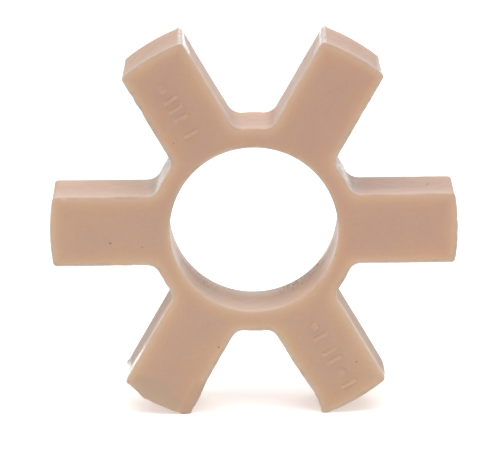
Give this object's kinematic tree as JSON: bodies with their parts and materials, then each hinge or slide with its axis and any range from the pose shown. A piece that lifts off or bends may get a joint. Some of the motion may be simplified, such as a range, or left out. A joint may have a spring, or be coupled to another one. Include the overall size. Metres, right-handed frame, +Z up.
{
  "type": "jaw coupling spider",
  "caption": "Elastomer spider of a jaw coupling: parallel-sided legs on a ring with an open centre, which sit between the jaws of the hubs and cushion the drive.",
  "frame": {"origin": "centre of the bore, midway between the two faces", "axes": "+Y along the shaft axis from the front, parting-line face to the back face, +Z up with a gap between two legs on it, +X along a leg"},
  "size_m": [0.0536, 0.0114, 0.0502],
  "materials": {
    "elastomer": "satin moulded elastomer, pale tan, slightly translucent"
  },
  "bodies": {
    "root": {"spider": "elastomer"}
  },
  "joints": []
}
